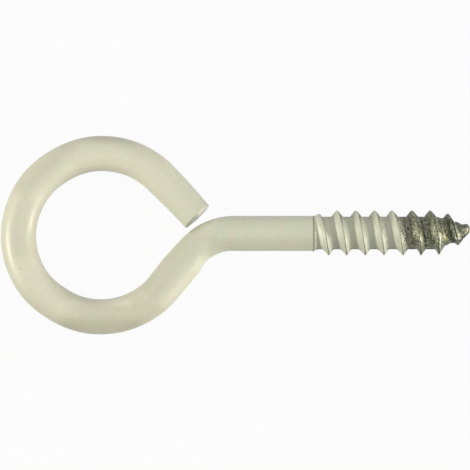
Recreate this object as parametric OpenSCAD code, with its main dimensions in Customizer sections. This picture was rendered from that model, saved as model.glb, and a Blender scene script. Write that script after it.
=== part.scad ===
// Screw eye: one length of round steel wire, with an eye bent at one end
// and a coarse wood thread with a tapered point at the other.
// The origin is the centre of the eye. The eye's axis is +Z, and the shank runs along +X to its point.

/* [Wire] */
// Diameter of the straight wire, over its coat
wire_d = 4.5; // [3.5:0.1:5.5]
// How much the wire swells on its radius where it is bent
bend_swell = 0.02; // [0.01:0.01:0.1]
// Length from the outside of the eye to the point
overall_l = 60; // [55:0.5:90]

/* [Eye] */
// Clear diameter inside the eye
eye_inner_d = 16.4; // [14:0.1:22]
// Slope of the straight cut end, which leaves the eye on a tangent
tail_slope = 45.5; // [38:0.5:50]
// How much thinner the wire is at the cut end, where the cropping draws it down
tail_draw = 0.35; // [0.05:0.05:1]
// Edge break round the cut face
tail_chamfer = 0.12; // [0.05:0.01:0.4]
// Gap between the cut end and the neck
mouth_gap = 0.6; // [0.2:0.1:2]

/* [Neck and shank] */
// Slope of the neck, from the eye up to the shank
neck_slope = 50; // [42:1:58]
// Radius of the bend from neck to shank, on the wire's centreline
neck_bend_r = 7; // [5:0.5:9]
// How far the shank's axis passes above the eye's centre
shank_rise = 0.2; // [-1:0.05:1]
// Height of the burr that the thread cutter raises on the shank
lip_h = 0.08; // [0.02:0.01:0.2]
// Length of that burr
lip_l = 0.4; // [0.2:0.1:1]

/* [Thread] */
// Threaded length, from the shank's shoulder to the point
thread_l = 20; // [14:0.5:26]
// Depth to which the root is cut below the shank
root_cut = 0.17; // [0.05:0.01:0.6]
// Height of the thread above its root
tooth_h = 0.78; // [0.4:0.01:1.1]
// Distance from crest to crest
pitch = 2.35; // [2:0.05:3]
// Width of the crest
crest_w = 0.12; // [0.05:0.01:0.3]
// Slope of the flank on the eye's side, from upright
near_flank = 38; // [30:1:45]
// Slope of the flank on the point's side, from upright
far_flank = 40; // [25:1:45]
// Radius between flank and root
root_fillet = 0.2; // [0.1:0.05:0.5]
// Turns over which the thread rises from the shoulder
run_in_turns = 0.5; // [0.3:0.1:1.5]

/* [Point] */
// Length of the tapered point
point_l = 4.4; // [3:0.1:8]
// Diameter of the blunt nose
nose_d = 1.7; // [0.8:0.1:2.4]
// Length of the nose's dome
nose_l = 0.5; // [0.2:0.1:1]
// Share of the taper over which the thread keeps its full height
full_share = 0.35; // [0:0.05:0.8]

/* [Hidden] */
$fn = 96;

wire_colour = [0.82, 0.81, 0.73];
wire_r = wire_d / 2;
bend_wire_r = wire_r + bend_swell;
// How far each straight length runs into the bend that it meets
sunk_l = 0.2;

// The eye and its cut end, in the plane of the eye
eye_r = eye_inner_d / 2 + bend_wire_r;
tail_angle = 90 - tail_slope;
tail_start = eye_r * polar(tail_angle);
tail_way = polar(-tail_slope);
tail_end_r = wire_r - tail_draw / 2;

// The neck leaves the eye on a tangent and bends into the shank
leave_angle = neck_slope - 90;
neck_start = eye_r * polar(leave_angle);
neck_l = (shank_rise - neck_start.y - neck_bend_r * (1 - cos(neck_slope))) / sin(neck_slope);
neck_end = neck_start + neck_l * polar(neck_slope);
bend_centre = neck_end + neck_bend_r * polar(leave_angle);

// The cut end stops where its inner corner is one mouth gap from the bend
corner_start = tail_start - tail_end_r * polar(tail_angle) - bend_centre;
corner_stop_r = neck_bend_r + bend_wire_r + mouth_gap;
corner_along = corner_start * tail_way;
tail_l = -corner_along - sqrt(corner_along ^ 2 - corner_start * corner_start + corner_stop_r ^ 2);

// Places along the shank
point_x = overall_l - eye_r - bend_wire_r;
shoulder_x = point_x - thread_l;
shank_l = shoulder_x - bend_centre.x;

// One tooth of the thread, as [distance from its crest line, share of its height]
root_r = wire_r - root_cut;
fillet_steps = 2;
near_side = tooth_side(near_flank);
tooth = concat(
    [for (i = [len(near_side) - 1:-1:0]) [-near_side[i][0], near_side[i][1]]],
    tooth_side(far_flank)
);

// The thread's surface is a grid of columns round the axis and stations along it.
// Each station follows the helix, so crests and roots are true helical lines.
columns = 48;
per_turn = len(tooth);
seat_l = side_w(near_flank) + sunk_l;
grid_start = -seat_l;
grid_end = thread_l - nose_l;
first_turn = -2;
last_turn = ceil(thread_l / pitch) + 1;
stations = (last_turn - first_turn + 1) * per_turn;
dome_rings = 4;

function polar(angle) = [cos(angle), sin(angle)];
function ramp(t) = let (c = min(max(t, 0), 1)) c * c * (3 - 2 * c);
// Width of one side of a tooth, from its crest line to the foot of its fillet
function side_w(flank) =
    crest_w / 2 + (tooth_h - root_fillet * (1 - sin(flank))) * tan(flank) + root_fillet * cos(flank);
function tooth_side(flank) = [
    [crest_w / 2, 1],
    for (step = [fillet_steps:-1:0])
        let (turn = (90 - flank) * step / fillet_steps)
        [side_w(flank) - root_fillet * sin(turn), root_fillet * (1 - cos(turn)) / tooth_h]
];
function point_share(z) = max(0, (z - (thread_l - point_l)) / (point_l - nose_l));
function core_r(z) = root_r + (nose_d / 2 - root_r) * point_share(z);
function fade(z) = 1 - ramp((point_share(z) - full_share) / (1 - full_share));
function turn_of(station, column) = first_turn + floor(station / per_turn) + column / columns;
function station_z(column, station) =
    min(max(pitch * turn_of(station, column) + tooth[station % per_turn][0], grid_start), grid_end);
function station_r(column, station) =
    let (z = station_z(column, station))
    core_r(z) + tooth_h * tooth[station % per_turn][1]
        * ramp(turn_of(station, column) / run_in_turns) * fade(z);
function grid_point(column, station) =
    let (r = station_r(column, station), angle = 360 * column / columns)
    [r * cos(angle), r * sin(angle), station_z(column, station)];
// The last column meets the first one turn further on
function grid_index(column, station) =
    column < columns ? column * stations + station : station + per_turn;
function dome_index(column, ring) = columns * stations + (column % columns) * (dome_rings - 1) + ring - 1;

// A straight length, turned from an outline of [distance along it, radius]
module straight(from, slope, outline) {
    along = [for (p = outline) [p[1], p[0]]];
    translate([from.x, from.y, 0])
        rotate([0, 90, slope])
            rotate_extrude()
                polygon(concat([[0, along[0].y]], along, [[0, along[len(along) - 1].y]]));
}

module bend(centre, bend_r, from_angle, to_angle) {
    translate([centre.x, centre.y, 0])
        rotate([0, 0, from_angle])
            rotate_extrude(angle = to_angle - from_angle)
                translate([bend_r, 0])
                    circle(r = bend_wire_r);
}

module eye() {
    bend([0, 0], eye_r, tail_angle, 360 + leave_angle);
    straight(tail_start, -tail_slope, [
        [-sunk_l, wire_r],
        [0, wire_r],
        [tail_l - tail_chamfer, tail_end_r],
        [tail_l, tail_end_r - tail_chamfer]
    ]);
}

module neck_and_shank() {
    straight(neck_start, neck_slope, [[-sunk_l, wire_r], [neck_l + sunk_l, wire_r]]);
    bend(bend_centre, neck_bend_r, 90, 90 + neck_slope);
    straight([bend_centre.x, shank_rise], 0, [
        [-sunk_l, wire_r],
        [shank_l - lip_l, wire_r],
        [shank_l, wire_r + lip_h]
    ]);
}

// The threaded core, its point and nose as one closed surface. It starts one seat inside the shank.
module thread() {
    grid = [for (c = [0:columns - 1]) for (s = [0:stations - 1]) grid_point(c, s)];
    dome = [
        for (c = [0:columns - 1]) for (ring = [1:dome_rings - 1])
            let (rise = 90 * ring / dome_rings, angle = 360 * c / columns)
            [nose_d / 2 * cos(rise) * cos(angle), nose_d / 2 * cos(rise) * sin(angle),
             grid_end + nose_l * sin(rise)]
    ];
    nose = [0, 0, thread_l];
    nose_index = len(grid) + len(dome);
    // A triangle that a clamped end has flattened to a line is left out
    sides = [
        for (c = [0:columns - 1]) for (s = [0:stations - 2])
            if (c < columns - 1 || s < stations - 1 - per_turn)
                let (here = station_z(c, s + 1) > station_z(c, s),
                     next = station_z(c + 1, s + 1) > station_z(c + 1, s))
                each [
                    if (next) [grid_index(c, s), grid_index(c + 1, s + 1), grid_index(c + 1, s)],
                    if (here) [grid_index(c, s), grid_index(c, s + 1), grid_index(c + 1, s + 1)]
                ]
    ];
    cap = [[for (c = [0:columns - 1]) grid_index(c, 0)]];
    dome_base = [
        for (c = [0:columns - 1])
            let (a = grid_index(c, stations - 1),
                 b = grid_index((c + 1) % columns, stations - 1))
            each [[a, dome_index(c + 1, 1), b], [a, dome_index(c, 1), dome_index(c + 1, 1)]]
    ];
    dome_sides = [
        for (c = [0:columns - 1]) for (ring = [1:dome_rings - 2])
            each [
                [dome_index(c, ring), dome_index(c + 1, ring + 1), dome_index(c + 1, ring)],
                [dome_index(c, ring), dome_index(c, ring + 1), dome_index(c + 1, ring + 1)]
            ]
    ];
    dome_top = [
        for (c = [0:columns - 1])
            [dome_index(c, dome_rings - 1), nose_index, dome_index(c + 1, dome_rings - 1)]
    ];
    translate([shoulder_x, shank_rise, 0])
        rotate([0, 90, 0])
            polyhedron(concat(grid, dome, [nose]), concat(sides, cap, dome_base, dome_sides, dome_top));
}

module screw_eye() {
    color(wire_colour)
        union() {
            eye();
            neck_and_shank();
            thread();
        }
}

screw_eye();
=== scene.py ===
"""Screw eye: bends the wire, cuts its thread, coats it and lights it on a plain floor."""

import math
from functools import partial
from types import SimpleNamespace

import bpy
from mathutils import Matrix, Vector, noise


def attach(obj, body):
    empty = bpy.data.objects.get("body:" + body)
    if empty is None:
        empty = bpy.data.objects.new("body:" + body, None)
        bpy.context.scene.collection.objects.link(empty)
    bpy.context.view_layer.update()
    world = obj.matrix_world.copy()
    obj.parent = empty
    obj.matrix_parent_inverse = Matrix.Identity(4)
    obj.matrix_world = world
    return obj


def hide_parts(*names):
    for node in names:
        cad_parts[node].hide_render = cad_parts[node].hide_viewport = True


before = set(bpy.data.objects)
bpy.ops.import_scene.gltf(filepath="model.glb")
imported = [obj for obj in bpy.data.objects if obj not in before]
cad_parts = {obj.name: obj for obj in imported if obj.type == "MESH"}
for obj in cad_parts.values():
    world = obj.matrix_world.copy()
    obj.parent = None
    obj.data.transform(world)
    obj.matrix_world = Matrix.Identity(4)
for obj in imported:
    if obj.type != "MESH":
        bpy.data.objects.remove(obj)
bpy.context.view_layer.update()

bl_info = {
    "name": "Screw eye",
    "version": (1, 0, 0),
    "blender": (4, 5, 0),
    "location": "View3D > Sidebar > Screw eye",
    "description": "Models a coated steel screw eye lying on a plain floor",
    "category": "Object",
}

MM = 0.001
# The photo: its side in pixels, a pixel in mm, and where its middle column lies in mm
PHOTO_SIDE_PX = 470
PHOTO_PX = 0.1278
PHOTO_MIDDLE_X = 17.16
# The camera's height over the part, in the photo's pixels, and its sensor's width in mm
CAMERA_HEIGHT_PX = 2400
SENSOR = 36

# Sides of the round wire, and its steps along the shank, round the neck's bend,
# along the neck, round the eye and along the cut end
SIDES = 80
SHANK_STEPS = 24
BEND_STEPS = 32
NECK_STEPS = 16
EYE_STEPS = 180
TAIL_STEPS = 20
# Rings of the burr at the shank's shoulder, as shares of its length
LIP_RINGS = (0.08, 0.2, 0.3, 0.42, 0.55, 1.0)
# Rises of the small round rim at the cut, in degrees, and rings across the cut face
RIM_RISES = (30, 60, 90)
FACE_RINGS = 5
# Steps of the thread in one turn, and across half its root
SCREW_STEPS = 96
ROOT_STEPS = 6
# How far the thread is sunk in the shank, and how far its faces are split there, in mm
THREAD_SEAT = 1.1
THREAD_SPLIT = 0.6
# Rings of the nose's dome, and how far short of its tip the last one stops, in rings
NOSE_RINGS = 6
NOSE_SHORT = 0.6
# Distances in metres: of points that are one, and of slivers where two skins meet
SAME_POINT = 1e-7
SLIVER = 1e-6
# Edges sharper than this stay crisp, in degrees
CRISP_EDGE = 35

# How far the bent wire strays in mm: round the eye, within EYE_REACH, by degrees, along the
# cut end by its length, and inside the neck's bend by degrees
EYE_WANDER = (
    (44.5, 0.11), (60, 0.05), (90, -0.05), (120, -0.16), (150, -0.04),
    (190, 0.07), (215, 0.07), (237, -0.06), (262, -0.01), (320, 0.0),
)
EYE_REACH = 14
TAIL_BOW = ((0, 0.11), (0.45, 0.12), (1, -0.01))
BEND_DENT = ((84, 0.0), (112, 0.11), (136, 0.24), (143, 0.2), (158, 0.0))
# How far the neck swells on the eye's side, in mm, by mm from the eye
NECK_SWELL = ((-1.0, 0.0), (1.2, 0.08), (2.8, 0.13), (4.5, 0.08), (6.2, 0.0))
# The neck's own wire, in mm: it lies past this x, under this y and this near its own line
NECK_X = 4
NECK_Y = 2.5
NECK_NEAR = 3
# How much of the burr is missing, by side: from -1, the neck's, to 1, the cut end's
BURR_MISSING = ((-0.8, 0.0), (0.4, 1.0))
# Columns of the thread's skin across each flank, as shares of its width from the crest
NEAR_COLUMNS = (0.08, 0.2, 0.35, 0.5, 0.65, 0.78, 0.9, 1.0)
FAR_COLUMNS = (0.02, 0.05, 0.1, 0.15, 0.24, 0.36, 0.48, 0.6, 0.72, 0.84, 0.93, 1.0)
# Depth of the seam beside the crest, as a share of the tooth, by the far flank's columns
SEAM = ((0.02, 0.0), (0.05, 0.26), (0.1, 0.26), (0.15, 0.0))
# How open the seam is, by share of a turn: it all but closes where it faces up
SEAM_OPEN = ((0.36, 1.0), (0.45, 0.35), (0.5, 0.35), (0.65, 1.0))
# Width of the rolled flanks against the plain ones, by share of a turn: 0.25 lies towards
# the cut end's side, 0.5 faces up and 0.75 lies towards the neck's side
NEAR_WIDTH = ((0, 1.0), (0.25, 0.92), (0.5, 1.2), (0.75, 1.38), (1, 1.0))
FAR_WIDTH = ((0, 0.9), (0.25, 0.86), (0.5, 1.33), (0.75, 0.88), (1, 0.9))
# How hollow the rolled flanks are: 1 is flat, less is full
NEAR_HOLLOW = ((0, 1.0), (0.25, 0.85), (0.5, 0.8), (0.75, 1.5), (1, 1.0))
FAR_HOLLOW = ((0, 1.0), (0.25, 0.85), (0.5, 0.75), (0.75, 1.2), (1, 1.0))
# By turns from the shoulder: the share of the near flank that the bare teeth lose towards
# the neck's side, the width of the first far flank, and the width of the last turns
BARE_LOSS = ((5.0, 0.0), (5.5, 0.42))
FIRST_FAR_WIDTH = ((0.47, 0.35), (0.56, 1.0))
LAST_WIDTH = ((6.8, 1.0), (7.2, 0.65))
# The first turn starts as a low round ridge: its gain on the tooth, the height in mm that
# halves it, the share of the run-in that it comes up in, and its growth to a tooth, by turns
RIDGE_GAIN = 1.1
RIDGE_LIMIT = 0.7
RISE_SHARE = 0.6
WHOLE_TOOTH = ((0.36, 0.0), (0.62, 1.0))
# Two fine lines on the ridge, as place from the crest, reach and height in mm; then their
# middle, reach and start in turns
FIRST_LINES = ((-0.4, 0.16, 0.05), (-0.06, 0.14, 0.05))
FIRST_LINE_TURNS = (0.52, 0.24)
FIRST_LINE_START = 0.3
# How full the groove is between the shoulder and the first turn, by share of a turn
SHOULDER_FILL = ((0.3, 1.0), (0.48, 0.0))
# The bead at the shoulder: how far it lies under the shank's skin, and its length, in mm
BEAD_UNDER = 0.02
BEAD_LENGTH = 0.15
# How far the crest strays along from its true helix, in mm, by turns from the shoulder
CREST_WANDER = (
    (0.25, 0.0), (0.75, 0.12), (1.25, -0.02), (1.75, 0.06), (2.25, 0.03), (2.75, 0.09),
    (3.25, 0.06), (3.75, 0.12), (4.25, -0.05), (4.75, 0.22), (5.25, 0.16), (6.75, 0.12),
    (7.25, 0.0),
)
# How far the thread's axis lies to the cut end's side of the shank's, in mm
THREAD_RISE = 0.06
# Grain of the rough bare steel in mm, fine and coarse
STEEL_GRAIN = (0.34, 0.8)
# Depth of the fine grain by mm from the shoulder, and of the coarse grain by mm from the
# nose, over the whole point and at the nose itself
FINE_DEPTH = ((10.4, 0.0), (11.6, 0.03))
COARSE_DEPTH = ((-5.5, 0.0), (-0.5, 0.04))
NOSE_DEPTH = ((-2.2, 0.0), (-0.2, 0.07))
# How far the battered point is drawn along, and leans, in mm, by mm from the nose
POINT_DRAW = ((-3.8, 0.0), (-2.96, 0.08), (-1.8, 0.26), (-1.06, 0.2), (0.0, -0.16))
POINT_LEAN = ((-4.0, 0.0), (-1.5, 0.12), (-0.75, 0.28), (-0.3, 0.42), (0.0, 0.45))
# Hollows in the point: mm from the nose, side (1 is the cut end's), and depth and reach in mm
POINT_HOLLOWS = ((-1.2, 1, 0.2, 0.75), (-2.75, -1, 0.19, 1.1))
# The slanted break of the nose: a place on it, in mm from the nose and the axis, and its slope
BREAK_AT = (-1.06, -0.8)
BREAK_SLOPE = 1.05
# Lean of the cropped face, in degrees, at its inner and its outer corner, and how far
# back along the wire it is felt, in mm
CUT_LEAN = (4.0, 6.0)
CUT_LEAN_LENGTH = 0.9
# Soft boxes: name, azimuth and elevation in degrees, distance, size in metres, watts
SOFT_BOXES = (
    ("left_soft_box", 186, 20, 0.6, (0.22, 0.16), 2.2),
    ("right_soft_box", -15, 5, 0.6, (0.14, 0.14), 2.1),
    ("right_window", -20, 16, 0.6, (0.6, 0.36), 0.9),
)
SOFT_BOX_COLOUR = (1.0, 0.97, 0.86)
# Strength of the room's light all round, then its gains as (axis, power, gain): overhead,
# at both ends of the part, at the point's end and on the cut end's side
ROOM_LEVEL = 0.11
ROOM_GAINS = (("Z", 3, 1.22), ("X", 2, 0.6), ("X", 1, 0.1), ("Y", 1, 0.32))
# The floor: its side in metres, its reflectance, and the share washed out to plain white
FLOOR_SIDE = 4.0
FLOOR = 0.45
FLOOR_WASH = 0.95
# The turn on whose far flank the coat ends, how whole it is by mm past the flank's foot,
# and the flecks left beyond
COAT_TURN = 4
COAT_EDGE = ((-0.2, 1.0), (0.2, 0.0))
FLECKS_LEFT = 0.05
# Chipped far flanks: two ends in mm from the crest, and how whole on that turn and before it
CHIPPED_FLANK = (0.2, 0.95)
CHIPPED = 0.45
CHIPPED_BEFORE = 0.6
# Painted shade across a tooth, as place from the crest and reach in mm, and strength: in the seam,
# its share on bare steel, the seam on the neck's edge, the far flank on the cut end's edge
# where it turns from the light, the near flank, and the far flank's foot on bare steel
SEAM_SHADE = (0.13, 0.08)
SEAM_BARE = 0.5
EDGE_SEAM_SHADE = (0.1, 0.16)
FAR_EDGE_SHADE = (0.33, 0.33, 0.9)
NEAR_SHADE = (-0.15, 0.4, 0.1)
BARE_FOOT_SHADE = (0.86, 0.16, 0.6)
# Darkening of bare flanks by mm from the crest, painted shade in the root by share of the
# tooth's height, darkening of the nose by mm from the shoulder; and the painted shade line in
# the groove at the shoulder
BARE_DULL = ((-0.9, 0.0), (-0.5, 0.3), (-0.1, 0.0), (0.1, 0.0), (0.3, 0.2))
ROOT_SHADE = ((0.0, 0.3), (0.14, 0.0))
NOSE_DULL = ((17.4, 0.0), (18.0, 0.42))
SHOULDER_SHADE = (-0.1, 0.15)
# How these show by side, from -1, the neck's, to 1: the seam, the far flank and the root's painted
# shadow
SEAM_EDGE = ((-0.9, 1.0), (-0.8, 0.0))
FAR_EDGE = ((0.66, 0.0), (0.82, 1.0))
ROOT_EDGE_SHADOW = ((-0.96, 1.0), (-0.91, 0.0), (0.9, 0.0), (0.96, 0.5))
# Painted highlight on coated far flanks and paler bare flanks by mm from the crest, and painted
# highlight on the shoulder by mm from it
FAR_HIGHLIGHT = ((0.18, 0.0), (0.28, 0.1), (0.4, 0.1), (0.6, 0.25), (0.88, 0.25), (0.96, 0.0))
BARE_RUBBED = ((-0.15, 0.0), (0.0, 0.1), (0.5, 0.1), (0.7, 0.0))
SHOULDER_HIGHLIGHT = ((0.0, 0.0), (0.04, 1.0), (0.18, 1.0), (0.28, 0.0))
# Painted highlights, given as the painted shade: on the near flank's foot and on the first turn's
# lines, each with its middle and reach in shares of a turn
FOOT_HIGHLIGHT = (-0.62, 0.2, 0.4)
FOOT_TURN = (0.5, 0.24)
LINES_HIGHLIGHT = ((-0.43, 0.12, 0.9), (-0.13, 0.09, 0.72))
LINES_TURN = (0.52, 0.13)
# The rim and the face of the cut: least facing, and the painted shade and painted light on them,
# from the cut's inner corner, -1, to its outer one, 1
RIM_FACING = 0.25
FACE_FACING = 0.93
RIM_SHADE = ((0.05, 0.9), (0.25, 0.0))
FACE_SHADE = ((-0.2, 0.35), (0.1, 0.0))
FACE_LIGHT = ((-0.1, 0.0), (0.1, 1.0))
# Marks on the bare steel, seen from above: kind, two ends and reach in mm. The bright ones are
# painted glints and the dark ones painted shadows; the yellow ones are yellowed steel
POINT_MARKS = (
    ("bright", (40.66, -0.35), (40.7, -0.6), 0.14),
    ("painted_shadow", (43.0, -0.55), (43.0, -1.75), 0.16),
    ("bright", (43.2, 0.15), (43.22, -1.65), 0.11),
    ("bright", (43.45, 1.2), (43.5, 0.6), 0.16),
    ("yellow", (43.7, 0.5), (43.95, -0.5), 0.6),
    ("bright", (43.68, -0.05), (43.72, -0.25), 0.18),
    ("painted_shadow", (44.72, 2.0), (45.34, -0.25), 0.24),
    ("bright", (45.2, 1.0), (45.7, -0.3), 0.19),
    ("bright", (45.2, -0.35), (46.05, -0.5), 0.2),
    ("painted_shadow", (44.2, -0.2), (45.3, -1.1), 0.2),
    ("painted_shadow", (45.85, -0.75), (46.95, 0.25), 0.3),
    ("bright", (46.2, 0.62), (46.75, 0.78), 0.24),
    ("yellow", (46.1, 0.6), (46.9, 0.6), 0.4),
    ("painted_shadow", (47.08, 1.1), (47.12, 0.2), 0.16),
)
# Patches of painted light and shade on the wire's coat, seen from above: kind, two ends and
# reach in mm. Painted highlights are paler and painted shade darker, as strongly as the two
# shares after them say.
PAINTED_LIGHT_PATCHES = (
    ("painted_highlight", (8.4, -8.4), (13.1, -3.2), 1.5),
    ("painted_highlight", (-9.5, -4.4), (-5.2, -9.1), 3.2),
    ("painted_highlight", (-3.9, 8.3), (-7.9, 4.6), 1.3),
    ("painted_highlight", (-3.5, -8.5), (3.5, -8.5), 1.0),
    ("painted_shade", (6.3, -6.0), (11.0, -0.2), 2.5),
    ("painted_shade", (-4.2, 11.2), (-9.9, 6.3), 2.0),
    ("painted_shade", (-3.0, 12.5), (3.5, 12.5), 1.2),
    ("painted_shade", (-4.5, -11.4), (4.5, -11.4), 1.6),
    ("painted_shade", (14.5, -1.1), (26.4, -1.1), 1.5),
)
PAINTED_HIGHLIGHT_PATCH = 0.25
PAINTED_SHADE_PATCH = 0.18
# A small scratch on the eye: place in mm, slope in degrees, and half sizes in mm
SCRATCH_AT = (-10.16, -4.28, 2.18)
SCRATCH_SLOPE = -56
SCRATCH_REACH = (0.34, 0.09, 0.4)
# How metallic the steel is, and how rough the steel, the enamel and the thread's enamel are
STEEL_METALLIC = 0.6
STEEL_ROUGHNESS = 0.5
ENAMEL_ROUGHNESS = 0.36
THREAD_ROUGHNESS = 0.5
# Heights in mm of the steel's grit, of the enamel's orange peel and of the coat's edge
GRIT_HEIGHT = 0.03
PEEL_HEIGHT = 0.008
COAT_HEIGHT = 0.03
# Where the coat is whole, where shade is painted in, where the steel is yellowed, and where
# highlights are painted in along with rubbed wear, as stored on the piece
LAYERS = ("coat", "dull", "yellow", "wear_and_highlight")


def length(name, description, millimetres):
    """A length property, written in millimetres and kept in metres."""
    return bpy.props.FloatProperty(
        name=name,
        description=description,
        default=millimetres * MM,
        precision=5,
        unit="LENGTH",
        subtype="DISTANCE",
    )


def angle(name, description, degrees):
    """An angle property, written in degrees."""
    return bpy.props.FloatProperty(
        name=name,
        description=description,
        default=math.radians(degrees),
        unit="ROTATION",
        subtype="ANGLE",
    )


def linear(hex_colour):
    """The linear RGBA of an sRGB colour such as "#D2CFB9"."""
    parts = [int(hex_colour[i : i + 2], 16) / 255 for i in (1, 3, 5)]
    return [c / 12.92 if c <= 0.04045 else ((c + 0.055) / 1.055) ** 2.4 for c in parts] + [1.0]


def colour(name, description, hex_colour):
    """A colour property, written in sRGB and kept in linear light."""
    return bpy.props.FloatVectorProperty(
        name=name,
        description=description,
        default=linear(hex_colour),
        size=4,
        min=0.0,
        max=1.0,
        subtype="COLOR",
    )


class ScrewEyeSizes(bpy.types.PropertyGroup):
    """Sizes of the wire, the eye, the neck and the thread."""

    wire_diameter: length("Wire", "Diameter of the straight wire", 4.5)
    bend_swell: length("Bend swell", "Extra radius where the wire is bent", 0.02)
    overall_length: length("Length", "From the outside of the eye to the point", 60.0)
    eye_clear: length("Eye", "Clear diameter inside the eye", 16.4)
    tail_slope: angle("Tail slope", "Slope of the straight cut end", 45.5)
    tail_draw: length("Tail draw", "How much thinner the wire is at its cut", 0.35)
    tail_rim: length("Tail rim", "Edge break round the cut face", 0.12)
    mouth_gap: length("Mouth", "Gap between the cut end and the neck", 0.6)
    neck_slope: angle("Neck slope", "Slope of the neck, from eye to shank", 50.0)
    neck_bend: length("Neck bend", "Centreline radius of the neck's bend", 7.0)
    shank_rise: length("Shank rise", "Shank axis above the eye's centre", 0.2)
    lip_height: length("Burr height", "Burr that the thread cutter raises", 0.08)
    lip_length: length("Burr length", "Length of that burr", 0.4)
    thread_length: length("Thread", "From the shank's shoulder to the point", 20.0)
    root_cut: length("Root cut", "Depth of the root below the shank", 0.17)
    tooth_height: length("Tooth height", "Height of the thread on its root", 0.78)
    pitch: length("Pitch", "Distance from crest to crest", 2.35)
    crest_width: length("Crest", "Width of the crest", 0.12)
    near_flank: angle("Near flank", "Flank on the eye's side, from upright", 38.0)
    far_flank: angle("Far flank", "Flank on the point's side, from upright", 40.0)
    run_in_turns: bpy.props.FloatProperty(
        name="Run-in",
        description="Turns over which the thread rises from the shoulder",
        default=0.5,
    )
    point_length: length("Point", "Length of the tapered point", 4.4)
    nose_diameter: length("Nose", "Diameter of the blunt nose", 1.7)
    nose_length: length("Nose dome", "Length of the nose's dome", 0.5)
    full_share: bpy.props.FloatProperty(
        name="Full thread share",
        description="Share of the taper over which the thread keeps its height",
        default=0.35,
        subtype="FACTOR",
    )


class ScrewEyeFinish(bpy.types.PropertyGroup):
    """Colours of the coat and of the steel under it."""

    # The next two creams are one enamel, lit and in painted shade; painted light blends from the
    # second to the first towards the upper side
    coat: colour("Coat", "Cream enamel on the upper side", "#D8D6C1")
    coat_shaded_side: colour("Coat, low", "Cream enamel on the lower side", "#CBC9B3")
    coat_warm: colour("Coat, warm", "Tint of the pinker patches", "#FFFBFE")
    coat_cool: colour("Coat, cool", "Tint of the greener patches", "#FAFFFC")
    coat_shank: colour("Coat, shank", "Tint of the cooler neck and shank", "#F7FAFB")
    # Painted shade: this tint darkens the eye's outside
    coat_outer_shade: colour("Coat, outer", "Tint of the eye's duller outside", "#F4F4F2")
    coat_thread: colour("Coat, thread", "Tint of the duller thread", "#F5F7F6")
    coat_mottle: colour("Coat, mottle", "Tint of the fine mottling", "#F9F9F7")
    # Painted highlight colour: lit flanks, the shoulder's bead, the cut face and patches of the
    # wire
    coat_highlight: colour("Coat, bright", "Fresh enamel on rubbed edges", "#F0EED8")
    # Painted shade colour: the thread's root, seams and turned-away edges, the shoulder's groove,
    # the cut's rim and patches of the wire; also the scratch
    coat_shade_and_scratch: colour("Coat, dull", "Thin, dull enamel in seams and roots", "#77765F")
    steel: colour("Steel", "Bare steel at the point", "#A4A78D")
    steel_dark: colour("Steel, dark", "Scaled steel in the hollows", "#4E513E")
    steel_yellow: colour("Steel, yellowed", "Yellowed patches near the nose", "#B8B27A")
    # Besides rubbed bare flanks, this colour paints glints on the point
    steel_rubbed_and_glint: colour("Steel, rubbed", "Edges that are rubbed bright", "#F0F1DA")
    # Painted shade and shadows on the bare steel: in the seam, at the flanks' feet and in dark
    # lines at the point; it also darkens the bare flanks and the nose
    steel_shade_and_darkening: colour("Steel, seam", "Soot in the thread's seam", "#1C1C16")


def polar(turn):
    """The flat direction at an angle."""
    return Vector((math.cos(turn), math.sin(turn), 0.0))


def smooth(t):
    """Rises from 0 to 1 with soft ends."""
    t = min(max(t, 0.0), 1.0)
    return t * t * (3.0 - 2.0 * t)


def layout(sizes):
    """The derived places of the part, worked out as its solid is."""
    p = SimpleNamespace()
    p.wire_r = sizes.wire_diameter / 2
    p.bend_r = p.wire_r + sizes.bend_swell
    p.eye_r = sizes.eye_clear / 2 + p.bend_r
    p.tail_turn = math.pi / 2 - sizes.tail_slope
    p.tail_start = p.eye_r * polar(p.tail_turn)
    p.tail_way = polar(-sizes.tail_slope)
    p.tail_end_r = p.wire_r - sizes.tail_draw / 2
    p.leave_turn = sizes.neck_slope - math.pi / 2
    p.neck_start = p.eye_r * polar(p.leave_turn)
    drop = sizes.neck_bend * (1 - math.cos(sizes.neck_slope))
    p.neck_length = (sizes.shank_rise - p.neck_start.y - drop) / math.sin(sizes.neck_slope)
    p.neck_way = polar(sizes.neck_slope)
    neck_end = p.neck_start + p.neck_length * p.neck_way
    p.bend_centre = neck_end + sizes.neck_bend * polar(p.leave_turn)
    corner = p.tail_start - p.tail_end_r * polar(p.tail_turn) - p.bend_centre
    stop = sizes.neck_bend + p.bend_r + sizes.mouth_gap
    along = corner.dot(p.tail_way)
    p.tail_length = -along - math.sqrt(along**2 - corner.length_squared + stop**2)
    p.point_x = sizes.overall_length - p.eye_r - p.bend_r
    p.shoulder_x = p.point_x - sizes.thread_length
    p.root_r = p.wire_r - sizes.root_cut
    return p


def select_only(piece):
    """Selects one piece and makes it the active one."""
    bpy.ops.object.select_all(action="DESELECT")
    piece.select_set(True)
    bpy.context.view_layer.objects.active = piece


def edit_all():
    """Goes into edit mode with the whole piece selected."""
    bpy.ops.object.mode_set(mode="EDIT")
    bpy.ops.mesh.select_all(action="SELECT")


def select_faces(piece, wanted):
    """Selects the faces that pass a test, and leaves the piece in edit mode."""
    bpy.ops.object.mode_set(mode="EDIT")
    bpy.ops.mesh.select_mode(type="FACE")
    bpy.ops.mesh.select_all(action="DESELECT")
    bpy.ops.object.mode_set(mode="OBJECT")
    for face in piece.data.polygons:
        face.select = wanted(face)
    bpy.ops.object.mode_set(mode="EDIT")


def pull(way, steps):
    """Draws the selected end on along a straight line, in even steps."""
    for _ in range(steps):
        bpy.ops.mesh.extrude_region_move(TRANSFORM_OT_translate={"value": tuple(way / steps)})


def draw_rings(start, way, r, rings):
    """Draws the selected end on through rings, each a distance from the start and a radius."""
    along = 0.0
    for next_along, next_r in rings:
        pull(way * (next_along - along), 1)
        bpy.ops.transform.resize(value=(next_r / r,) * 3, center_override=start + way * next_along)
        along = next_along
        r = next_r


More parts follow.
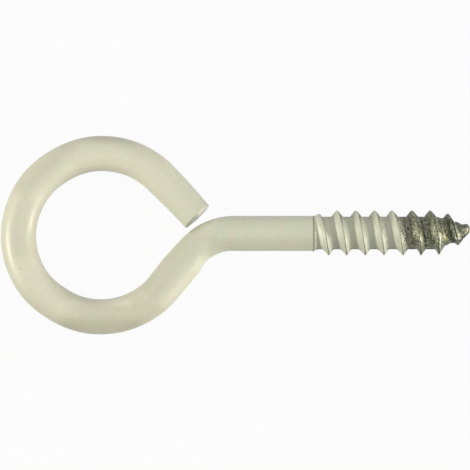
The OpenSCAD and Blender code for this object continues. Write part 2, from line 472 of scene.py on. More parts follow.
def bend_wire(sizes, p):
    """One continuous skin from the shank's shoulder back to the cut end."""
    lip_r = p.wire_r + sizes.lip_height
    shoulder = Vector((p.shoulder_x, sizes.shank_rise, 0))
    bpy.ops.object.select_all(action="DESELECT")
    bpy.ops.mesh.primitive_circle_add(
        vertices=SIDES,
        radius=lip_r,
        fill_type="NGON",
        location=shoulder,
        rotation=(0, -math.pi / 2, 0),
    )
    wire = bpy.context.object
    wire.name = "screw_eye_wire"
    bpy.ops.object.transform_apply(location=True, rotation=True, scale=True)
    edit_all()
    bpy.ops.mesh.select_mode(type="FACE")

    back = Vector((-1.0, 0.0, 0.0))
    burr = [(sizes.lip_length * t, lip_r - sizes.lip_height * t) for t in LIP_RINGS]
    draw_rings(shoulder, back, lip_r, burr)
    shank = p.shoulder_x - sizes.lip_length - p.bend_centre.x
    pull(back * shank, SHANK_STEPS)
    bpy.ops.mesh.spin(
        steps=BEND_STEPS, angle=sizes.neck_slope, center=p.bend_centre, axis=(0, 0, -1)
    )
    pull(-p.neck_way * p.neck_length, NECK_STEPS)
    sweep = 2 * math.pi + p.leave_turn - p.tail_turn
    bpy.ops.mesh.spin(steps=EYE_STEPS, angle=sweep, center=(0, 0, 0), axis=(0, 0, 1))

    # The cut end is drawn down by the cropping, and has a small round rim
    straight = p.tail_length - sizes.tail_rim
    rings = []
    for step in range(1, TAIL_STEPS + 1):
        share = step / TAIL_STEPS
        rings.append((straight * share, p.wire_r + (p.tail_end_r - p.wire_r) * share))
    for rise in RIM_RISES:
        turn = math.radians(rise)
        r = p.tail_end_r - sizes.tail_rim * (1 - math.cos(turn))
        rings.append((straight + sizes.tail_rim * math.sin(turn), r))
    draw_rings(p.tail_start, p.tail_way, p.wire_r, rings)
    # Rings across the cut face
    for _ in range(FACE_RINGS):
        bpy.ops.mesh.inset(thickness=r / (FACE_RINGS + 1))
    bpy.ops.object.mode_set(mode="OBJECT")
    return wire


def between(pairs, at):
    """A smooth value between (place, value) pairs."""
    if at <= pairs[0][0]:
        return pairs[0][1]
    for (a, value_a), (b, value_b) in zip(pairs, pairs[1:]):
        if at <= b:
            return value_a + (value_b - value_a) * smooth((at - a) / (b - a))
    return pairs[-1][1]


def set_by_hand(wire, sizes, p):
    """Leaves the marks of bending and cropping: the eye is not quite round."""
    out = polar(p.tail_turn)
    neck_out = polar(p.leave_turn)
    cut_reach = p.tail_length + 0.3 * MM
    wire_reach = p.wire_r + 0.15 * MM
    for v in wire.data.vertices:
        flat = Vector((v.co.x, v.co.y, 0))
        turn = math.degrees(math.atan2(flat.y, flat.x)) % 360
        along = (flat - p.tail_start).dot(p.tail_way)
        across = (flat - p.tail_start).dot(out)
        if 0 <= along < cut_reach and abs(across) < wire_reach:
            # The cut end bows, and its face leans
            v.co += out * between(TAIL_BOW, along / p.tail_length) * MM
            side = 0.5 + 0.5 * across / p.tail_end_r
            lean = math.tan(math.radians(CUT_LEAN[0] + side * (CUT_LEAN[1] - CUT_LEAN[0])))
            near_cut = 1 + (along - p.tail_length) / (CUT_LEAN_LENGTH * MM)
            v.co -= p.tail_way * v.co.z * lean * smooth(near_cut)
        elif (
            math.degrees(p.tail_turn) <= turn <= EYE_WANDER[-1][0]
            and flat.length < EYE_REACH * MM
        ):
            v.co += flat.normalized() * between(EYE_WANDER, turn) * MM
        elif flat.x > p.shoulder_x - 0.99 * sizes.lip_length:
            # The cutter raises its burr on the neck's side only
            y = v.co.y - sizes.shank_rise
            r = math.hypot(y, v.co.z)
            k = 1 + (p.wire_r / r - 1) * between(BURR_MISSING, y / r)
            v.co = (v.co.x, y * k + sizes.shank_rise, v.co.z * k)
        else:
            # The neck's bend is dented on its inside
            hub = flat - p.bend_centre
            bend = math.degrees(math.atan2(hub.y, hub.x))
            inward = max(0.0, (sizes.neck_bend - hub.length) / p.bend_r)
            v.co += hub.normalized() * between(BEND_DENT, bend) * inward**1.5 * MM
        # The neck swells on the eye's side
        along = (flat - p.neck_start).dot(p.neck_way)
        across = (flat - p.neck_start).dot(neck_out)
        if flat.x > NECK_X * MM and flat.y < NECK_Y * MM and -NECK_NEAR * MM < across < 0:
            swell = between(NECK_SWELL, along / MM) * -across / p.bend_r
            v.co -= neck_out * swell * MM


def thread_profile(sizes):
    """One plain tooth, from mid-root to mid-root, as (along, height)."""
    top = sizes.tooth_height
    crest = sizes.crest_width / 2
    sides = []
    for flank, columns in ((sizes.near_flank, NEAR_COLUMNS), (sizes.far_flank, FAR_COLUMNS)):
        width = top * math.tan(flank)
        side = [(crest, top)]
        side += [(crest + width * t, top * (1 - t)) for t in columns]
        root = sizes.pitch / 2 - crest - width
        steps = range(1, ROOT_STEPS + 1)
        side += [(crest + width + root * step / ROOT_STEPS, 0.0) for step in steps]
        sides.append(side)
    near, far = sides
    return [(-along, h) for along, h in reversed(near)] + [(0.0, top)] + far


def helix_place(point, sizes, p):
    """A thread point's tooth, in turns from the shoulder, and its place along from the crest."""
    share = math.atan2(point.y - sizes.shank_rise, -point.z) / (2 * math.pi) % 1.0
    along = point.x - p.shoulder_x
    tooth = round(along / sizes.pitch - share)
    return tooth + share, along - sizes.pitch * (tooth + share)


def bump(at, middle, reach, height=1.0):
    """A soft hump."""
    return height * (1 - smooth(abs(at - middle) / reach))


def roll_tooth(turn, off, sizes):
    """Where a place on the plain tooth lies on the rolled one: along, and share of its height.

    Rolling folds the metal up from both sides, so a fine seam is left beside the crest.
    """
    share = turn % 1.0
    crest = sizes.crest_width / 2
    if abs(off) <= crest:
        return off, 1.0
    if off < 0:
        flank = sizes.tooth_height * math.tan(sizes.near_flank)
        width = flank * between(NEAR_WIDTH, share)
        hollow = between(NEAR_HOLLOW, share)
        width *= 1 - between(BARE_LOSS, turn) * bump(share, 0.75, 0.25)
    else:
        flank = sizes.tooth_height * math.tan(sizes.far_flank)
        width = flank * between(FAR_WIDTH, share)
        hollow = between(FAR_HOLLOW, share)
        # The first turn has hardly a far flank until it comes round to face up
        width *= between(FIRST_FAR_WIDTH, turn)
    width *= between(LAST_WIDTH, turn)
    t = (abs(off) - crest) / flank
    if t < 1:
        height = (1 - t) ** hollow
        if off > 0:
            height -= between(SEAM, t) * between(SEAM_OPEN, share)
        return math.copysign(crest + t * width, off), height
    middle = sizes.pitch / 2
    left = (middle - abs(off)) / (middle - crest - flank)
    return math.copysign(middle - left * (middle - crest - width), off), 0.0


def run_in(turn, off, along, height, sizes):
    """The tooth's height over the first turn, which starts as a low round ridge."""
    share = turn % 1.0
    off /= MM
    ridge = RIDGE_GAIN * height / (1 + height / (RIDGE_LIMIT * MM))
    height = ridge + (height - ridge) * between(WHOLE_TOOTH, turn)
    height *= smooth(turn / (RISE_SHARE * sizes.run_in_turns))
    if turn > FIRST_LINE_START:
        height += sum(bump(off, *line) for line in FIRST_LINES) * bump(turn, *FIRST_LINE_TURNS) * MM
    # It leaves no groove at the shoulder on the cut end's side, and a small bead elsewhere
    if share < 0.5 and turn < 1 and off < 0:
        height = max(height, sizes.root_cut * between(SHOULDER_FILL, share))
    bead = sizes.root_cut - BEAD_UNDER * MM
    height = max(height, bead * min(1.0, 2 - along / (BEAD_LENGTH * MM)))
    # Inside the shank it narrows, to stay under the wire's skin
    return height if along > 0 else min(height, bead + along)


def cut_thread(sizes, p):
    """The threaded core with its tapered point, as one closed skin."""
    outline = thread_profile(sizes)
    start_x = p.shoulder_x - 2 * sizes.pitch
    bpy.ops.object.select_all(action="DESELECT")
    bpy.ops.mesh.primitive_plane_add(size=MM, location=(0, 0, 0))
    thread = bpy.context.object
    thread.name = "screw_eye_thread"
    edit_all()
    bpy.ops.mesh.select_mode(type="VERT")
    bpy.ops.mesh.merge(type="CENTER")
    first = Vector((start_x + outline[0][0], 0, -p.root_r - outline[0][1]))
    bpy.ops.transform.translate(value=first)
    for (x0, h0), (x1, h1) in zip(outline, outline[1:]):
        bpy.ops.mesh.extrude_vertices_move(TRANSFORM_OT_translate={"value": (x1 - x0, 0, h0 - h1)})
    bpy.ops.object.mode_set(mode="OBJECT")

    bpy.ops.object.modifier_add(type="SCREW")
    screw = thread.modifiers[-1]
    screw.axis = "X"
    screw.angle = 2 * math.pi
    screw.screw_offset = sizes.pitch
    screw.iterations = math.ceil(sizes.thread_length / sizes.pitch) + 4
    screw.steps = screw.render_steps = SCREW_STEPS
    screw.use_merge_vertices = False
    bpy.ops.object.modifier_apply(modifier=screw.name)

    edit_all()
    bpy.ops.mesh.remove_doubles(threshold=SAME_POINT)
    dome_x = p.point_x - sizes.nose_length
    for x, way in ((p.shoulder_x - THREAD_SEAT * MM, -1), (dome_x, 1)):
        bpy.ops.mesh.select_all(action="SELECT")
        bpy.ops.mesh.bisect(
            plane_co=(x, 0, 0),
            plane_no=(way, 0, 0),
            use_fill=True,
            clear_outer=True,
            threshold=SAME_POINT,
        )
    bpy.ops.object.mode_set(mode="OBJECT")

    # Each point of the plain thread goes to its place on the rolled and tapered one
    taper = sizes.point_length - sizes.nose_length
    nose_r = sizes.nose_diameter / 2
    for v in thread.data.vertices:
        co = v.co + Vector((0, sizes.shank_rise, 0))
        r = math.hypot(v.co.y, v.co.z)
        share = max(0.0, (co.x - p.point_x + sizes.point_length) / taper)
        fade = 1 - smooth((share - sizes.full_share) / (1 - sizes.full_share))
        core = p.root_r + (nose_r - p.root_r) * share
        turn, off = helix_place(co, sizes, p)
        rolled, height = roll_tooth(turn, off, sizes)
        stray = between(CREST_WANDER, turn) * MM
        x = co.x + (rolled - off + stray) * fade
        height = run_in(turn, rolled, x - p.shoulder_x, height * sizes.tooth_height, sizes)
        k = (core + height * fade) / r
        v.co = (x, v.co.y * k + sizes.shank_rise, v.co.z * k)

    # The nose is drawn out into a dome
    select_faces(
        thread, lambda face: abs(face.normal.x) > 0.9 and abs(face.center.x - dome_x) < 1e-6
    )
    rings = []
    for ring in range(1, NOSE_RINGS + 1):
        rise = math.pi / 2 * ring / (NOSE_RINGS + NOSE_SHORT)
        rings.append((sizes.nose_length * math.sin(rise), nose_r * math.cos(rise)))
    draw_rings(Vector((dome_x, sizes.shank_rise, 0)), Vector((1, 0, 0)), nose_r, rings)
    bpy.ops.mesh.select_all(action="SELECT")
    bpy.ops.mesh.normals_make_consistent(inside=False)
    bpy.ops.object.mode_set(mode="OBJECT")
    batter_point(thread, sizes, p)
    return thread


def split_at_shoulder(thread, p):
    """Triangles where the shank's end cuts the thread, so that each face is cut straight."""
    select_only(thread)
    select_faces(thread, lambda face: abs(face.center.x - p.shoulder_x) < THREAD_SPLIT * MM)
    bpy.ops.mesh.quads_convert_to_tris()
    bpy.ops.object.mode_set(mode="OBJECT")


def thread_lift(x, p):
    """How far the thread lies to the cut end's side of its plain axis, in mm."""
    rise = THREAD_RISE * smooth((x - p.shoulder_x) / MM)
    return rise + between(POINT_LEAN, (x - p.point_x) / MM)


def batter_point(thread, sizes, p):
    """Roughens the bare steel, then draws the point along, leans it and breaks its nose."""
    moves = []
    for v in thread.data.vertices:
        before = (v.co.x - p.point_x) / MM
        fine = noise.noise(v.co / (STEEL_GRAIN[0] * MM))
        coarse = noise.noise(v.co / (STEEL_GRAIN[1] * MM) + Vector((7.0, 3.0, 1.0)))
        push = between(FINE_DEPTH, (v.co.x - p.shoulder_x) / MM) * fine
        push += (between(COARSE_DEPTH, before) + between(NOSE_DEPTH, before)) * coarse
        lift = thread_lift(v.co.x, p)
        for at, side, depth, reach in POINT_HOLLOWS:
            lift -= side * depth * bump(before, at, reach) * max(0.0, side * v.normal.y)
        moves.append((v.normal * push + Vector((between(POINT_DRAW, before), lift, 0))) * MM)
    for v, move in zip(thread.data.vertices, moves):
        v.co += move
        before = (v.co.x - p.point_x) / MM - BREAK_AT[0]
        if before > 0:
            least = sizes.shank_rise + (BREAK_AT[1] + before * BREAK_SLOPE) * MM
            v.co.y = max(v.co.y, least)


def unbattered(point, p):
    """Where a point of the thread lay before the point was battered."""
    x = point.x
    for _ in range(4):
        x = point.x - between(POINT_DRAW, (x - p.point_x) / MM) * MM
    return Vector((x, point.y - thread_lift(x, p) * MM, point.z))


def mark_at(marks, kind, point):
    """How strongly the marks of one kind cover a place, on the side that faces up."""
    most = 0.0
    flat = Vector((point.x, point.y)) / MM
    for mark, start, end, reach in marks:
        if mark == kind:
            start = Vector(start)
            way = Vector(end) - start
            t = min(max((flat - start).dot(way) / way.length_squared, 0.0), 1.0)
            most = max(most, 1 - smooth((flat - start - way * t).length / reach))
    return most * smooth(0.5 + point.z / (0.8 * MM))


def thread_place(point, sizes, p):
    """Where a point lies on the thread, with the battering of the point undone."""
    plain = unbattered(point, p)
    turn, off = helix_place(plain, sizes, p)
    y = plain.y - sizes.shank_rise
    r = math.hypot(y, plain.z)
    return SimpleNamespace(
        tooth=math.floor(turn),
        share=turn % 1.0,
        bare=math.floor(turn) > COAT_TURN,
        off=off / MM - between(CREST_WANDER, turn),
        along=(point.x - p.shoulder_x) / MM,
        plain_along=(plain.x - p.shoulder_x) / MM,
        side=y / r,
        height=(r - p.root_r) / sizes.tooth_height,
    )


def coat_left(at, sizes):
    """How whole the coat is: it ends along the far flank of one turn."""
    # Its edge crosses that turn underneath
    edge = at.share
    if not 1 / 6 <= at.share <= 5 / 6:
        edge = 0.5 + (0.5 - (at.share + 0.5) % 1.0) * 2
    start, foot = CHIPPED_FLANK
    past = at.plain_along - sizes.pitch / MM * (COAT_TURN + edge) - foot
    whole = between(COAT_EDGE, past)
    if at.tooth >= COAT_TURN - 1 and start < at.off < foot:
        whole = min(whole, CHIPPED_BEFORE if at.tooth < COAT_TURN else CHIPPED)
    return max(whole, FLECKS_LEFT)


def thread_dulled(at):
    """Painted shade in the root and the seam and along the edges that turn from the light; on bare
    steel the flanks and the nose are also darkened.
    """
    seam = bump(at.off, *SEAM_SHADE) * between(SEAM_OPEN, at.share)
    if at.bare:
        seam *= SEAM_BARE
    seam = max(seam, bump(at.off, *EDGE_SEAM_SHADE) * between(SEAM_EDGE, at.side))
    raised = smooth(at.height / 0.3)
    dulled = max(
        between(ROOT_SHADE, at.height),
        seam * raised,
        bump(at.off, *FAR_EDGE_SHADE) * between(FAR_EDGE, at.side) * smooth(at.height / 0.2),
        bump(at.off, *NEAR_SHADE),
        (1 - raised) * between(ROOT_EDGE_SHADOW, at.side),
    )
    dulled = max(dulled * smooth(at.along / 0.4), bump(at.along, *SHOULDER_SHADE))
    if at.bare:
        dulled = max(dulled, between(BARE_DULL, at.off), bump(at.off, *BARE_FOOT_SHADE))
    return max(dulled, between(NOSE_DULL, at.along))


def thread_highlight_and_wear(at):
    """Painted highlights beside the seam, at the near foot, on the first turn's lines and on the
    shoulder's lower edge; on bare steel, rubbed flanks.
    """
    if at.bare:
        return between(BARE_RUBBED, at.off)
    foot = bump(at.off, *FOOT_HIGHLIGHT) * bump(at.share, *FOOT_TURN)
    rubbed = max(between(FAR_HIGHLIGHT, at.off), foot) * smooth(at.along / 0.3)
    if at.tooth == 0:
        lines = max(bump(at.off, *line) for line in LINES_HIGHLIGHT)
        rubbed = max(rubbed, lines * bump(at.share, *LINES_TURN))
    if 0.48 < at.share < 0.9:
        rubbed = max(rubbed, between(SHOULDER_HIGHLIGHT, at.along))
    return rubbed


def paint_thread(point, sizes, p):
    """How whole the coat is at a point on the thread, and how much painted shade, yellowing, and
    painted highlight with rubbed wear it has.
    """
    at = thread_place(point, sizes, p)
    return (
        coat_left(at, sizes),
        max(thread_dulled(at), mark_at(POINT_MARKS, "painted_shadow", point)),
        mark_at(POINT_MARKS, "yellow", point),
        max(thread_highlight_and_wear(at), mark_at(POINT_MARKS, "bright", point)),
    )


def paint_wire(vertex, p):
    """Painted light and shade in patches on the coat; the cut face has painted light above and
    painted shade below, and the rim round it painted shade below.
    """
    flat = Vector((vertex.co.x, vertex.co.y, 0)) - p.tail_start
    reach = flat.dot(p.tail_way) - p.tail_length
    across = flat.dot(polar(p.tail_turn)) / p.tail_end_r
    facing = vertex.normal.dot(p.tail_way)
    if abs(reach) > 0.5 * MM or abs(across) > 1.2 or facing < RIM_FACING:
        # Patches of painted shade and painted highlight
        painted_shade = PAINTED_SHADE_PATCH * mark_at(PAINTED_LIGHT_PATCHES, "painted_shade", vertex.co)
        return 1.0, painted_shade, 0.0, PAINTED_HIGHLIGHT_PATCH * mark_at(PAINTED_LIGHT_PATCHES, "painted_highlight", vertex.co)
    # The cut face: painted light on its outer side and painted shade on its inner side, which the
    # neck shades; the rim round it gets painted shade on its inner half
    if facing > FACE_FACING:
        return 1.0, between(FACE_SHADE, across), 0.0, between(FACE_LIGHT, across)
    return 1.0, between(RIM_SHADE, across), 0.0, 0.0


def paint_coat(part, sizes, p):
    """Stores where the coat is whole, where shade and highlights are painted, and where the steel
    is yellowed or rubbed, for the material.
    """
    mesh = part.data
    start_x = p.shoulder_x - 0.3 * MM
    rows = [
        paint_thread(v.co, sizes, p) if v.co.x > start_x else paint_wire(v, p)
        for v in mesh.vertices
    ]
    for name, values in zip(LAYERS, zip(*rows)):
        mesh.attributes.new(name, "FLOAT", "POINT").data.foreach_set("value", values)


def add_node(tree, kind, inputs=None, **settings):
    """Adds a shader node; an input is a value, a socket, or a node for its first output."""
    node = tree.nodes.new(kind)
    for name, value in settings.items():
        setattr(node, name, value)
    for socket, value in (inputs or {}).items():
        if isinstance(value, bpy.types.Node):
            value = value.outputs[0]
        if isinstance(value, bpy.types.NodeSocket):
            tree.links.new(value, node.inputs[socket])
        else:
            node.inputs[socket].default_value = value
    return node


def cream_enamel_on_steel(finish):
    """Cream stoved enamel over drawn steel wire.

    The enamel is smooth and semi-gloss, with faint warmer and cooler patches; painted light
    makes it paler on the upper side and painted shade darker on the eye's outside. Painted shade
    darkens the thread's root, seams and turned-away edges, and painted highlights lighten its lit
    flanks. It stops short of the point, where the scaled steel shows dark with bright flecks that
    run round with the thread, with painted glints and shadows.
    """
    material = bpy.data.materials.new("cream_enamel_on_steel")
    material.use_nodes = True
    tree = material.node_tree
    tree.nodes.clear()
    add = partial(add_node, tree)
    place = add("ShaderNodeTexCoord").outputs["Object"]
    axes = add("ShaderNodeSeparateXYZ", {0: place}).outputs
    flat = add("ShaderNodeCombineXYZ", {"X": axes["X"], "Y": axes["Y"]})
    reach = add("ShaderNodeVectorMath", {0: flat}, operation="LENGTH").outputs["Value"]
    coat, dull, yellow, wear_and_highlight = (
        add("ShaderNodeAttribute", attribute_name=name).outputs["Fac"]
        for name in LAYERS
    )

    # Noise by size in mm and detail: the enamel's patches and fine mottling, the flecks
    # where it breaks up, and its orange peel
    patches, mottle, flecks, peel = (
        add("ShaderNodeTexNoise", {"Vector": place, "Scale": 1 / (size * MM), "Detail": detail})
        for size, detail in ((2.0, 6.0), (0.35, 3.0), (0.25, 2.0), (0.9, 1.0))
    )
    # Rolled and scaled steel: flecks 0.18 mm wide, drawn out to 0.3 mm round the thread
    rolled = add(
        "ShaderNodeMapping",
        {"Vector": place, "Scale": [1 / (c * MM) for c in (0.18, 0.3, 0.3)]},
    )
    grit = add("ShaderNodeTexNoise", {"Vector": rolled, "Scale": 1.0, "Detail": 3.0})
    broken = add("ShaderNodeMath", {0: flecks, 1: 0.5}, operation="SUBTRACT")
    broken = add("ShaderNodeMath", {0: coat, 1: broken}, operation="ADD")
    # Warm and cool patches, the coat where it holds, and the steel's bright flecks
    warm, cool, mask, bright = (
        add(
            "ShaderNodeMapRange",
            {"Value": value, "From Min": start, "From Max": end},
            interpolation_type="SMOOTHSTEP",
        )
        for value, start, end in (
            (patches, 0.5, 0.68),
            (patches, 0.5, 0.32),
            (broken, 0.4, 0.6),
            (grit, 0.34, 0.7),
        )
    )
    # The mottling; painted light makes the coat lighter towards the cut end's side; it turns a
    # little cooler from the eye to the shank; painted shade darkens the outside of the eye; and it
    # is duller on the thread
    mottle, painted_light_by_y, shank, outer, thread = (
        add("ShaderNodeMapRange", {"Value": value, "From Min": start, "From Max": end})
        for value, start, end in (
            (mottle, 0.35, 0.65),
            (axes["Y"], -10 * MM, 10 * MM),
            (axes["X"], 4 * MM, 14 * MM),
            (reach, 8.5 * MM, 12.5 * MM),
            (axes["X"], 27 * MM, 28 * MM),
        )
    )
    outer = add("ShaderNodeMath", {0: outer, 1: shank}, operation="SUBTRACT", use_clamp=True)
    # A small scratch on the eye
    scratch = add(
        "ShaderNodeMapping",
        {
            "Vector": place,
            "Location": [c * MM for c in SCRATCH_AT],
            "Rotation": (0.0, 0.0, math.radians(SCRATCH_SLOPE)),
            "Scale": [c * MM for c in SCRATCH_REACH],
        },
        vector_type="TEXTURE",
    )
    scratch = add("ShaderNodeVectorMath", {0: scratch}, operation="LENGTH").outputs["Value"]
    scratch = add(
        "ShaderNodeMapRange", {"Value": scratch, "From Min": 1.0, "From Max": 0.3, "To Max": 0.3}
    )
    # Painted shade from the stored layer, with the scratch
    marks = add("ShaderNodeMath", {0: dull, 1: scratch}, operation="MAXIMUM")
    stained = add("ShaderNodeMath", {0: yellow, 1: bright}, operation="MULTIPLY")
    # On the bare steel: rubbed flanks and painted glints
    rubbed = add("ShaderNodeMath", {0: bright, 1: 0.7, 2: 0.3}, operation="MULTIPLY_ADD")
    rubbed = add("ShaderNodeMath", {0: wear_and_highlight, 1: rubbed}, operation="MULTIPLY")

    # Enamel and steel, each built up from its first colour
    tones = {"enamel": finish.coat_shaded_side, "steel": finish.steel_dark}
    for tone, blend, amount, tint in (
        # Painted light: towards the upper side the enamel turns to the lighter cream
        ("enamel", "MIX", painted_light_by_y, finish.coat),
        ("enamel", "MULTIPLY", warm, finish.coat_warm),
        ("enamel", "MULTIPLY", cool, finish.coat_cool),
        ("enamel", "MULTIPLY", mottle, finish.coat_mottle),
        ("enamel", "MULTIPLY", shank, finish.coat_shank),
        # Painted shade on the eye's outside
        ("enamel", "MULTIPLY", outer, finish.coat_outer_shade),
        ("enamel", "MULTIPLY", thread, finish.coat_thread),
        # Painted highlights on the enamel, in the same layer as rubbed wear
        ("enamel", "MIX", wear_and_highlight, finish.coat_highlight),
        # Painted shade on the enamel, and the scratch
        ("enamel", "MIX", marks, finish.coat_shade_and_scratch),
        ("steel", "MIX", bright, finish.steel),
        ("steel", "MIX", stained, finish.steel_yellow),
        ("steel", "MIX", rubbed, finish.steel_rubbed_and_glint),
        # Painted shade and shadows on the bare steel, which also darken its flanks and nose
        ("steel", "MIX", dull, finish.steel_shade_and_darkening),
    ):
        tones[tone] = add(
            "ShaderNodeMix",
            {0: amount, 6: tones[tone], 7: tint},
            data_type="RGBA",
            blend_type=blend,
        ).outputs[2]
    base = add("ShaderNodeMix", {0: mask, 6: tones["steel"], 7: tones["enamel"]}, data_type="RGBA")
    satin = add(
        "ShaderNodeMapRange",
        {"Value": thread, "To Min": ENAMEL_ROUGHNESS, "To Max": THREAD_ROUGHNESS},
    )
    # From bare steel to coat: metal, roughness and the height of the grit
    metal, gloss, rough = (
        add("ShaderNodeMapRange", {"Value": mask, "To Min": bare, "To Max": coated})
        for bare, coated in ((STEEL_METALLIC, 0.0), (STEEL_ROUGHNESS, satin), (GRIT_HEIGHT, 0.0))
    )

    # Heights in mm: the grit, the faint orange peel, and the coat over the steel
    height = add("ShaderNodeMath", {0: grit, 1: rough}, operation="MULTIPLY")
    for share, most in ((peel, PEEL_HEIGHT), (mask, COAT_HEIGHT)):
        height = add("ShaderNodeMath", {0: share, 1: most, 2: height}, operation="MULTIPLY_ADD")
    bumps = add("ShaderNodeBump", {"Height": height, "Distance": MM, "Strength": 1.0})
    surface = add(
        "ShaderNodeBsdfPrincipled",
        {
            "Base Color": base.outputs[2],
            "Metallic": metal,
            "Roughness": gloss,
            "Normal": bumps,
            "IOR": 1.5,
        },
    )
    add("ShaderNodeOutputMaterial", {"Surface": surface})
    return material


class SCREWEYE_OT_add_part(bpy.types.Operator):
    """Bend the wire, cut the thread and join them into one coated piece"""

    bl_idname = "screw_eye.add_part"
    bl_label = "Add screw eye"

    def execute(self, context):
        sizes = context.scene.screw_eye_sizes
        p = layout(sizes)
        wire = bend_wire(sizes, p)
        thread = cut_thread(sizes, p)
        split_at_shoulder(thread, p)
        select_only(wire)
        edit_all()
        bpy.ops.mesh.remove_doubles(threshold=SAME_POINT)
        bpy.ops.mesh.normals_make_consistent(inside=False)
        bpy.ops.object.mode_set(mode="OBJECT")
        set_by_hand(wire, sizes, p)
        bpy.ops.object.modifier_add(type="BOOLEAN")
        union = wire.modifiers[-1]
        union.operation = "UNION"
        union.solver = "EXACT"
        union.object = thread
        bpy.ops.object.modifier_apply(modifier=union.name)
        bpy.data.objects.remove(thread)
        if max(v.co.x for v in wire.data.vertices) < p.point_x - sizes.point_length:
            raise RuntimeError("The thread did not join the wire")
        # Slivers where the two skins meet are merged away
        edit_all()
        bpy.ops.mesh.remove_doubles(threshold=SLIVER)
        bpy.ops.mesh.dissolve_degenerate(threshold=SLIVER)
        bpy.ops.object.mode_set(mode="OBJECT")
        bpy.ops.object.shade_smooth_by_angle(angle=math.radians(CRISP_EDGE))
        wire.name = "screw_eye_part"
        paint_coat(wire, sizes, p)
        wire.data.materials.clear()
        wire.data.materials.append(cream_enamel_on_steel(context.scene.screw_eye_finish))
        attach(wire, "root")
        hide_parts("screw_eye")
        return {"FINISHED"}


def background_seen(add):
    """1 for the rays that show the background: straight, mirrored or through glass."""
    path = add("ShaderNodeLightPath").outputs
    seen = path["Is Camera Ray"]
    for ray in ("Is Glossy Ray", "Is Transmission Ray"):
        seen = add("ShaderNodeMath", {0: seen, 1: path[ray]}, operation="MAXIMUM")
    return seen


def white_paper():
    """Matt white paper, washed out to the eye, which keeps a faint shadow."""
    material = bpy.data.materials.new("white_paper")
    material.use_nodes = True
    tree = material.node_tree
    tree.nodes.clear()
    add = partial(add_node, tree)
    matt = add("ShaderNodeBsdfDiffuse", {"Color": (FLOOR, FLOOR, FLOOR, 1)})
    glow = add("ShaderNodeEmission")
    wash = add("ShaderNodeMapRange", {"Value": background_seen(add), "To Max": FLOOR_WASH})
    mix = add("ShaderNodeMixShader", {0: wash, 1: matt, 2: glow})
    add("ShaderNodeOutputMaterial", {"Surface": mix})
    return material


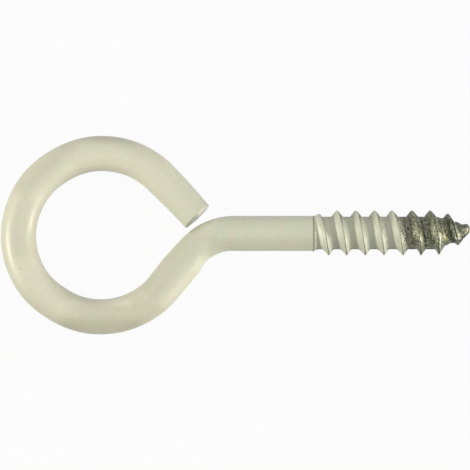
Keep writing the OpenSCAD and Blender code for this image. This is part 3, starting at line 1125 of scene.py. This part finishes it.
class SCREWEYE_OT_add_stage(bpy.types.Operator):
    """Add the floor, the lights and the camera"""

    bl_idname = "screw_eye.add_stage"
    bl_label = "Add stage"

    def execute(self, context):
        scene = context.scene
        sizes = scene.screw_eye_sizes
        p = layout(sizes)
        scene.view_settings.view_transform = "Standard"

        camera = bpy.data.objects.new("camera", bpy.data.cameras.new("camera"))
        scene.collection.objects.link(camera)
        scene.camera = camera
        distance = CAMERA_HEIGHT_PX * PHOTO_PX * MM
        camera.location = (PHOTO_MIDDLE_X * MM, 0.0, distance)
        camera.data.sensor_width = SENSOR
        camera.data.lens = SENSOR * CAMERA_HEIGHT_PX / PHOTO_SIDE_PX
        camera.data.clip_start = 0.01
        camera.data.clip_end = 20

        # The part lies on its eye and on the thread's crests, so the floor slopes a little
        bpy.ops.object.select_all(action="DESELECT")
        crest_r = p.root_r + sizes.tooth_height
        lie = math.atan2(crest_r - p.bend_r, p.shoulder_x + sizes.pitch + p.eye_r)
        bpy.ops.mesh.primitive_plane_add(
            size=FLOOR_SIDE, location=(-p.eye_r, 0, -p.bend_r), rotation=(0, lie, 0)
        )
        floor = context.object
        floor.name = "floor"
        floor.data.materials.append(white_paper())

        # Soft boxes low at both ends of the part, then the room's light all round
        middle = Vector(((p.point_x - p.eye_r) / 2, 0, 0))
        for name, azimuth, elevation, away, size, power in SOFT_BOXES:
            up = math.radians(elevation)
            way = polar(math.radians(azimuth)) * math.cos(up) + Vector((0, 0, math.sin(up)))
            bpy.ops.object.light_add(
                type="AREA",
                location=middle + way * away,
                rotation=way.to_track_quat("Z", "Y").to_euler(),
            )
            lamp = context.object
            lamp.name = name
            lamp.data.shape = "RECTANGLE"
            lamp.data.size, lamp.data.size_y = size
            lamp.data.energy = power
            lamp.data.color = SOFT_BOX_COLOUR

        world = bpy.data.worlds.new("studio")
        scene.world = world
        world.use_nodes = True
        tree = world.node_tree
        tree.nodes.clear()
        add = partial(add_node, tree)
        sky = add("ShaderNodeTexCoord").outputs["Generated"]
        way = add("ShaderNodeSeparateXYZ", {0: sky}).outputs
        level = ROOM_LEVEL
        for axis, power, gain in ROOM_GAINS:
            part = add("ShaderNodeMath", {0: way[axis], 1: power}, operation="POWER")
            level = add("ShaderNodeMath", {0: part, 1: gain, 2: level}, operation="MULTIPLY_ADD")
        level = add("ShaderNodeMath", {0: level, 1: 0.0}, operation="MAXIMUM")
        room = add("ShaderNodeBackground", {"Color": (1, 1, 1, 1), "Strength": level})
        seen = add("ShaderNodeBackground", {"Color": (1, 1, 1, 1), "Strength": 1.0})
        mix = add("ShaderNodeMixShader", {0: background_seen(add), 1: room, 2: seen})
        add("ShaderNodeOutputWorld", {"Surface": mix})
        return {"FINISHED"}


class SCREWEYE_PT_panel(bpy.types.Panel):
    """Lists the part's sizes and its operators"""

    bl_label = "Screw eye"
    bl_idname = "SCREWEYE_PT_panel"
    bl_space_type = "VIEW_3D"
    bl_region_type = "UI"
    bl_category = "Screw eye"

    def draw(self, context):
        column = self.layout.column()
        for group in (context.scene.screw_eye_sizes, context.scene.screw_eye_finish):
            for name in group.__annotations__:
                column.prop(group, name)
        column.operator(SCREWEYE_OT_add_part.bl_idname)
        column.operator(SCREWEYE_OT_add_stage.bl_idname)


CLASSES = (
    ScrewEyeSizes,
    ScrewEyeFinish,
    SCREWEYE_OT_add_part,
    SCREWEYE_OT_add_stage,
    SCREWEYE_PT_panel,
)


def register():
    for cls in CLASSES:
        bpy.utils.register_class(cls)
    bpy.types.Scene.screw_eye_sizes = bpy.props.PointerProperty(type=ScrewEyeSizes)
    bpy.types.Scene.screw_eye_finish = bpy.props.PointerProperty(type=ScrewEyeFinish)


def unregister():
    del bpy.types.Scene.screw_eye_finish
    del bpy.types.Scene.screw_eye_sizes
    for cls in reversed(CLASSES):
        bpy.utils.unregister_class(cls)


def main():
    register()
    bpy.ops.screw_eye.add_part()
    bpy.ops.screw_eye.add_stage()


if __name__ == "__main__":
    main()
